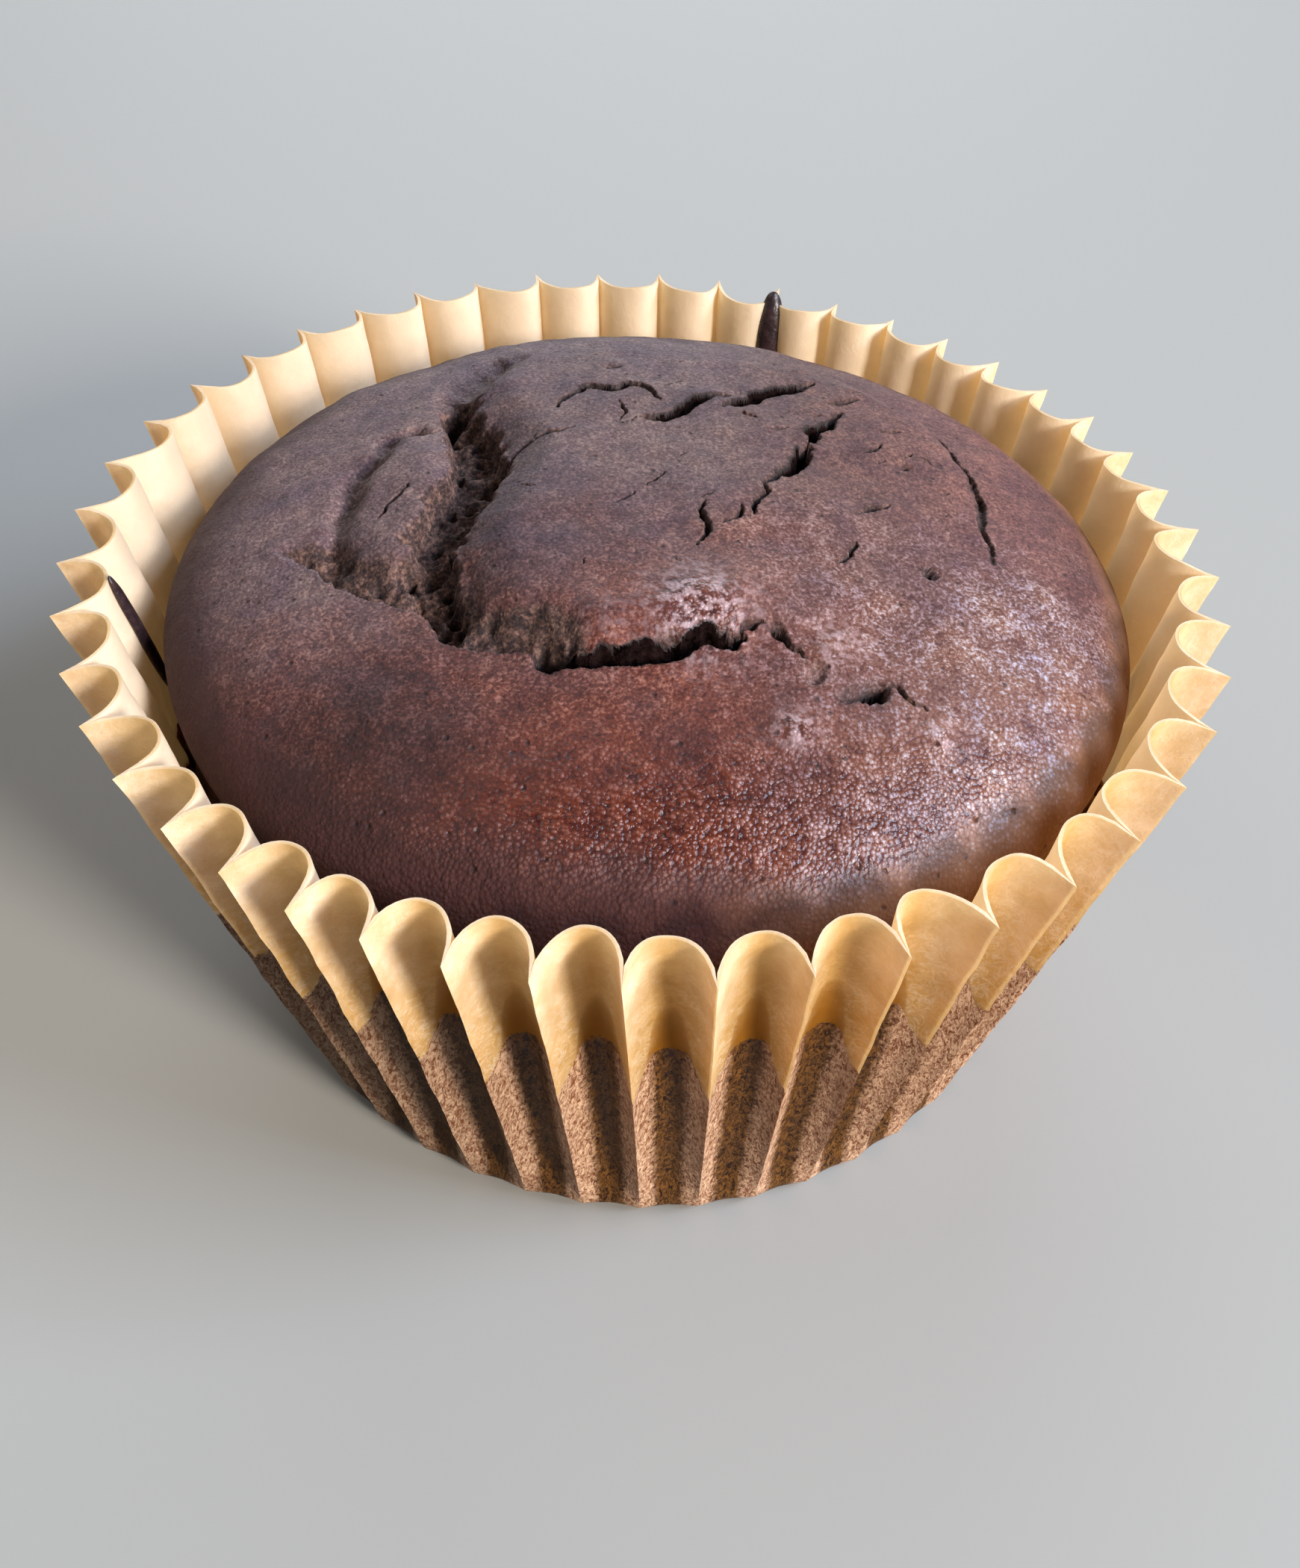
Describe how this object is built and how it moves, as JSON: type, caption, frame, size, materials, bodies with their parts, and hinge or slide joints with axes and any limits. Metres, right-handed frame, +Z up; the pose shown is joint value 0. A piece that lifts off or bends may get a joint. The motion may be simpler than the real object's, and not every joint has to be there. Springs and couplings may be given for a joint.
{
  "type": "chocolate muffin in a pleated paper case",
  "caption": "Small domed chocolate muffin with a cracked crust, baked in a flared, pleated greaseproof paper case.",
  "frame": {"origin": "centre of the paper case's flat underside, where the muffin stands", "axes": "+Z up through the crown, -Y towards the viewer of the cracked crust, +X to that viewer's right"},
  "size_m": [0.0654, 0.0627, 0.0344],
  "materials": {
    "case_paper": "matt greaseproof paper, golden tan, translucent, stained dark brown where the cake touches it",
    "cake_crust": "baked chocolate cake crust, dark reddish brown, matt on the middle plate and softly glossy towards the front edge",
    "baked_drip": "batter baked dry, almost black, slightly glossy"
  },
  "bodies": {
    "root": {"paper_case": "case_paper", "muffin_cake": "cake_crust", "batter_drip_back": "baked_drip", "batter_drip_left": "baked_drip"}
  },
  "joints": []
}
